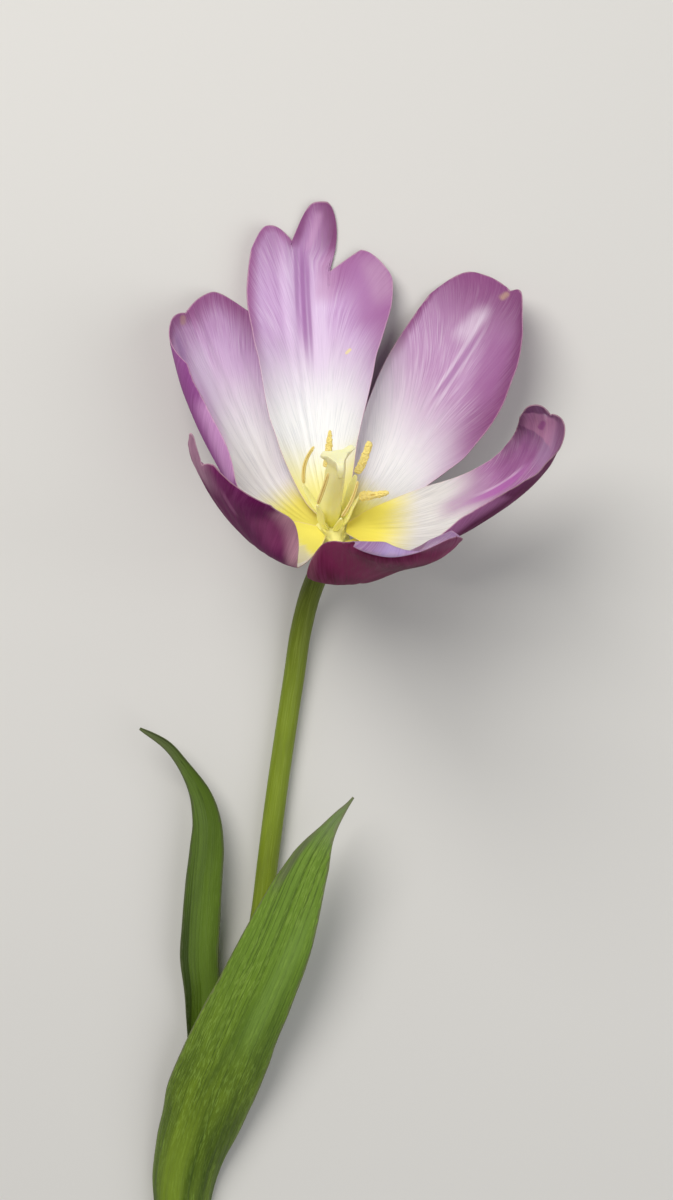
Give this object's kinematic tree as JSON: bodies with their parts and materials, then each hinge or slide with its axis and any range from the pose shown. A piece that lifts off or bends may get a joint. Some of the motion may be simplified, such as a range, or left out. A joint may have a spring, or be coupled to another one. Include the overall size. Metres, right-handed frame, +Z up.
{
  "type": "cut tulip flower",
  "caption": "Open cut tulip lying on a table: bent neck lifting a bloom of broad lilac petals, a long clasping leaf and a narrow leaf along the stem.",
  "frame": {"origin": "on the table under the middle of the flower's footprint", "axes": "+Y from the cut end of the stem toward the bloom, +X across, +Z up from the table"},
  "size_m": [0.0994, 0.2969, 0.0891],
  "materials": {
    "stem": "satin",
    "leaf": "satin",
    "petal": "satin",
    "pistil": "satin",
    "filament": "satin",
    "anther": "matte"
  },
  "bodies": {
    "root": {"stem": "stem", "leaf_large": "leaf", "leaf_small": "leaf", "petal_back": "petal", "petal_left": "petal", "petal_right": "petal", "petal_right_front": "petal", "petal_front": "petal", "petal_left_front": "petal", "pistil": "pistil", "filament_1": "filament", "filament_2": "filament", "filament_3": "filament", "filament_4": "filament", "filament_5": "filament", "filament_6": "filament", "anther_1": "anther", "anther_2": "anther", "anther_3": "anther", "anther_4": "anther", "anther_5": "anther", "anther_6": "anther"}
  },
  "joints": []
}
